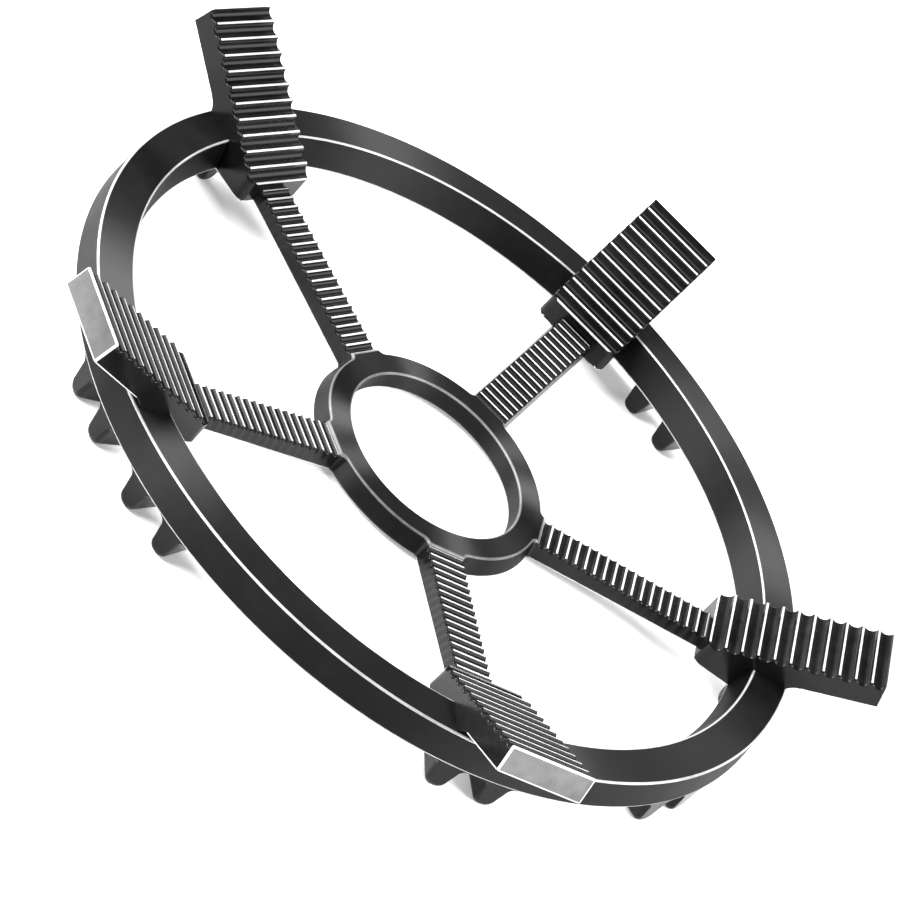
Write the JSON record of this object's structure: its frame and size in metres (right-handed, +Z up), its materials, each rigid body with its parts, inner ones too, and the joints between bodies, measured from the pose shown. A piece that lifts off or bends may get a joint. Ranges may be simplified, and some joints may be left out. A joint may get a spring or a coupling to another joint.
{
  "type": "gas hob pan support",
  "caption": "Cast-iron pan support ring for a gas hob, with ribbed arms rising across the ring, ribbed spokes to a hub ring, and paired teeth underneath.",
  "frame": {"origin": "centre of the hub's bore, halfway up its wall", "axes": "+Z up along the bore's axis, +Y along the middle of one arm, +X to the right of it"},
  "size_m": [0.232, 0.2206, 0.0344],
  "materials": {
    "iron": "satin"
  },
  "bodies": {
    "root": {"pan_support": "iron"}
  },
  "joints": []
}
